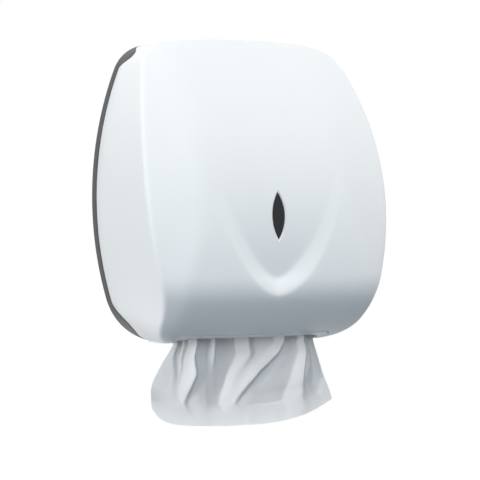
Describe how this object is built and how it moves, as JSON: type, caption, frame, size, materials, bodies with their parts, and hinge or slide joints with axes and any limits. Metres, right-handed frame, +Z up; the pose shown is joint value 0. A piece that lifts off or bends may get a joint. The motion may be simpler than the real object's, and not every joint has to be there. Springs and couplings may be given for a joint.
{
  "type": "interfold paper towel dispenser",
  "caption": "Wall-mounted interfold paper towel dispenser: a white barrel-shaped drop-front cover with a scooped front and sight window on a grey back plate, a towel hanging from its outlet.",
  "frame": {"origin": "middle of the flat wall face of the back plate", "axes": "+Z up, the wall is the plane Y = 0 and the dispenser stands out from it towards -Y, +X is the viewer's right"},
  "size_m": [0.291, 0.1365, 0.3915],
  "materials": {
    "white_housing": "satin moulded ABS",
    "grey_plate": "fine matt moulded ABS",
    "smoked_lens": "polished, almost black",
    "tray_plastic": "matt",
    "steel": "zinc plated",
    "zinc": "plated die casting",
    "paper": "soft white paper"
  },
  "bodies": {
    "base": {"back_plate": "grey_plate", "paper_tray": "tray_plastic", "outlet_insert": "white_housing", "tray_screw_1": "steel", "tray_screw_2": "steel", "tray_screw_3": "steel", "tray_screw_4": "steel", "hinge_pin_right": "steel", "hinge_pin_left": "steel", "towel_pack_lower": "paper", "towel_pack_middle": "paper", "towel_pack_upper": "paper"},
    "cover": {"front_cover": "white_housing", "sight_window": "smoked_lens", "lock_sleeve": "grey_plate", "lock_nut": "zinc"},
    "lock": {"lock_barrel": "zinc", "lock_cam": "zinc", "cam_screw": "steel"},
    "towel": {"towel_sheet": "paper"}
  },
  "joints": [
    {"name": "cover_hinge", "type": "hinge", "parent": "base", "child": "cover", "pos_m": [0, -0.06, -0.139], "axis": [1, 0, 0], "range_deg": [0, 50]},
    {"name": "lock_turn", "type": "hinge", "parent": "cover", "child": "lock", "pos_m": [0, -0.021, 0.14], "axis": [0, 0, 1], "range_deg": [0, 90]},
    {"name": "towel_pull", "type": "slide", "parent": "base", "child": "towel", "axis": [0, 0, -1], "range_m": [0, 0.06]}
  ]
}
